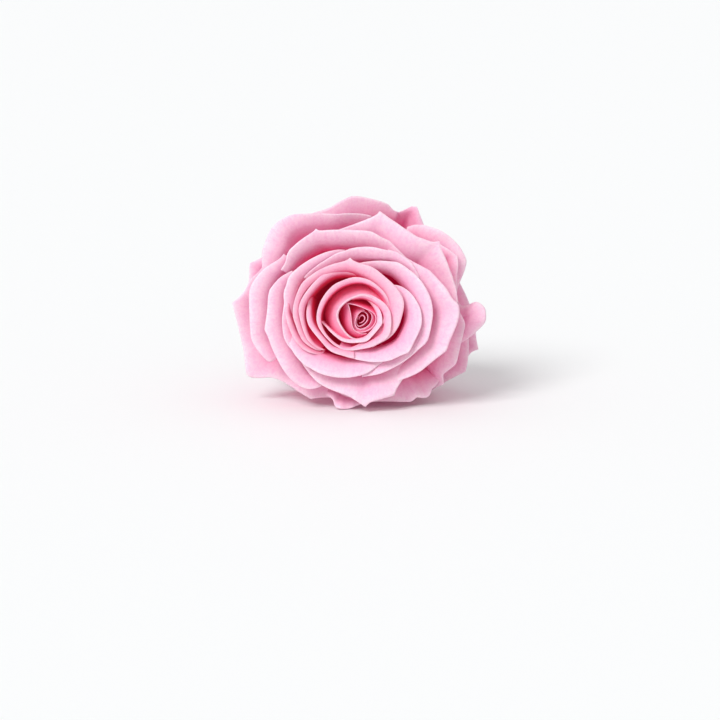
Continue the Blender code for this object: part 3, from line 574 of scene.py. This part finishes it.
# The calyx: the green hip behind the bloom with a short length of cut stem, grown as one piece. It is
# drawn up ring by ring from the stem's end, whose cut is pale, mottled and a little sunken.
GREEN_ROUGHNESS = 0.65
GREEN_SOFTNESS = 0.1
GREEN_SOFT_REACH = 0.0008
SKIN_SCALE = 350.0
SKIN_DETAIL = 5.0
SKIN_TONES = (0.35, 0.68)
SKIN_STRENGTH = 0.35
SKIN_HEIGHT = 0.0003


def green_material(name, dark, light):
    """A dull plant skin, mottled between a dark and a light tone."""
    made = bpy.data.materials.new(name)
    made.use_nodes = True
    nodes = made.node_tree.nodes
    links = made.node_tree.links
    shader = nodes["Principled BSDF"]
    shader.inputs["Roughness"].default_value = GREEN_ROUGHNESS
    shader.inputs["Subsurface Weight"].default_value = GREEN_SOFTNESS
    shader.inputs["Subsurface Scale"].default_value = GREEN_SOFT_REACH
    where = nodes.new("ShaderNodeTexCoord")
    mottle = nodes.new("ShaderNodeTexNoise")
    mottle.inputs["Scale"].default_value = SKIN_SCALE
    mottle.inputs["Detail"].default_value = SKIN_DETAIL
    links.new(where.outputs["Object"], mottle.inputs["Vector"])
    tone = nodes.new("ShaderNodeValToRGB")
    tone.color_ramp.elements[0].position = SKIN_TONES[0]
    tone.color_ramp.elements[0].color = dark
    tone.color_ramp.elements[1].position = SKIN_TONES[1]
    tone.color_ramp.elements[1].color = light
    links.new(mottle.outputs["Fac"], tone.inputs["Fac"])
    links.new(tone.outputs["Color"], shader.inputs["Base Color"])
    bump = nodes.new("ShaderNodeBump")
    bump.inputs["Strength"].default_value = SKIN_STRENGTH
    bump.inputs["Distance"].default_value = SKIN_HEIGHT
    links.new(mottle.outputs["Fac"], bump.inputs["Height"])
    links.new(bump.outputs["Normal"], shader.inputs["Normal"])
    return made


LEAF_GREEN = green_material("leaf_green", (0.055, 0.11, 0.03, 1), (0.16, 0.24, 0.075, 1))
CUT_PITH = green_material("cut_pith", (0.30, 0.26, 0.12, 1), (0.62, 0.60, 0.38, 1))
STEM_END = -17.0
STEM_RADIUS = 2.4
STEM_SIDES = 64
CUT_EDGE = 0.45
CUT_BORDER = 0.7
CUT_HOLLOW = 0.25
FACES_BACK = -0.9
SOFTEN_LEVELS = 2
# Each ring's height and radius, from the stem up to the bloom.
HIP_RINGS = [(-16.8, 2.60), (-15.0, 2.50), (-12.5, 2.45), (-10.6, 2.55), (-9.6, 2.90), (-8.6, 3.70),
             (-7.2, 4.60), (-5.6, 5.10), (-3.9, 5.25), (-2.4, 5.15), (-0.92, 4.80)]
bpy.ops.mesh.primitive_circle_add(vertices=STEM_SIDES, radius=STEM_RADIUS, fill_type="NGON",
                                  location=(0, 0, 0))
hip = bpy.context.object
hip.name = "hip_and_stem"
bpy.ops.object.mode_set(mode="EDIT")
bpy.ops.mesh.select_all(action="SELECT")
bpy.ops.transform.translate(value=(0, 0, STEM_END))
last_height, last_radius = STEM_END, STEM_RADIUS
for ring_height, ring_radius in HIP_RINGS:
    bpy.ops.mesh.extrude_region_move(TRANSFORM_OT_translate={"value": (0, 0, ring_height - last_height)})
    widen = ring_radius / last_radius
    bpy.ops.transform.resize(value=(widen, widen, 1))
    last_height, last_radius = ring_height, ring_radius
bpy.ops.mesh.select_all(action="SELECT")
bpy.ops.mesh.normals_make_consistent(inside=False)
bpy.ops.object.mode_set(mode="OBJECT")
hip.data.materials.append(LEAF_GREEN)
hip.data.materials.append(CUT_PITH)
for face in hip.data.polygons:
    face.select = face.normal.z < FACES_BACK
    face.material_index = int(face.select)
bpy.ops.object.mode_set(mode="EDIT")
bpy.ops.mesh.inset(thickness=CUT_EDGE)
bpy.ops.mesh.inset(thickness=CUT_BORDER)
bpy.ops.transform.translate(value=(0, 0, CUT_HOLLOW))
bpy.ops.object.mode_set(mode="OBJECT")
soften = hip.modifiers.new("Soften", "SUBSURF")
soften.levels = SOFTEN_LEVELS
soften.render_levels = SOFTEN_LEVELS
bpy.ops.object.modifier_apply(modifier="Soften")
hip.data.transform(flower_to_world)
bpy.ops.object.shade_smooth()
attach(hip, "root")
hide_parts("calyx")


# The five sepals: pointed green leaves that grow from the hip, folded along the midrib and bent
# back a little towards the stem. Each is a grid shaped by its outline and given its wall.
SEPAL_COUNT = 5
SEPAL_LENGTH = 17.0
SEPAL_WIDTH = 6.4
SEPAL_FOOT_SHARE = 0.25
SEPAL_SWELL = 1.6
SEPAL_TAPER = 0.8
SEPAL_TIP_WIDTH = 0.3
SEPAL_TIP_TAPER = 0.8
SEPAL_FOOT_OUT = 3.0
SEPAL_FOOT_BACK = 2.4
SEPAL_DROOP = 3.0
SEPAL_FOLD = 0.5
SEPAL_FOLD_CURVE = 1.3
SEPAL_RIPPLE = 0.18
SEPAL_RIPPLES = 9
SEPAL_RIPPLE_TURN = 2.1
SEPAL_RIPPLE_OFFSET = 1.5
SEPAL_RIB = 0.22
SEPAL_WALL = 0.7
SEPAL_GRID = (14, 28)
SEPAL_SMOOTHING = 1
for number in range(SEPAL_COUNT):
    turn = radians(90 + 360 / SEPAL_COUNT * number)
    sepal_out = np.array([cos(turn), sin(turn), 0.0])
    sepal_side = np.array([-sin(turn), cos(turn), 0.0])
    up_axis = np.array([0.0, 0.0, 1.0])
    rows = []
    for t in np.linspace(0.0, 1.0, SEPAL_GRID[1] + 1):
        half = 0.5 * (SEPAL_WIDTH * (SEPAL_FOOT_SHARE + SEPAL_SWELL * t) * (1 - t) ** SEPAL_TAPER
                      + SEPAL_TIP_WIDTH * (1 - SEPAL_TIP_TAPER * t))
        spine = (sepal_out * (SEPAL_FOOT_OUT + SEPAL_LENGTH * t)
                 - up_axis * (SEPAL_FOOT_BACK + SEPAL_DROOP * t * t))
        for k in np.linspace(-1.0, 1.0, SEPAL_GRID[0] + 1):
            phase = SEPAL_RIPPLES * t + SEPAL_RIPPLE_TURN * number + (SEPAL_RIPPLE_OFFSET if k > 0 else 0)
            ripple = SEPAL_RIPPLE * sin(phase) * k * k * (1 - t)
            rib = SEPAL_RIB * (1 - abs(k)) ** 4 * (1 - t)
            rise = SEPAL_FOLD * half * abs(k) ** SEPAL_FOLD_CURVE + ripple - rib
            rows.append(spine + sepal_side * half * k + up_axis * rise)
    tipped = np.array(rows) @ np.array(flower_to_world.to_3x3()).T
    placed = tipped + np.array(flower_to_world.translation)
    bpy.ops.mesh.primitive_grid_add(x_subdivisions=SEPAL_GRID[0], y_subdivisions=SEPAL_GRID[1], size=1.0)
    sepal = bpy.context.object
    sepal.name = f"sepal_{number + 1}"
    sepal.data.vertices.foreach_set("co", placed.ravel())
    wall = sepal.modifiers.new("Wall", "SOLIDIFY")
    wall.thickness = SEPAL_WALL * MM
    wall.offset = 0.0
    smooth = sepal.modifiers.new("Smooth", "SUBSURF")
    smooth.levels = SEPAL_SMOOTHING
    smooth.render_levels = SEPAL_SMOOTHING
    bpy.ops.object.modifier_apply(modifier="Wall")
    bpy.ops.object.modifier_apply(modifier="Smooth")
    bpy.ops.object.shade_smooth()
    sepal.data.materials.append(LEAF_GREEN)
    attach(sepal, "root")
    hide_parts("calyx")
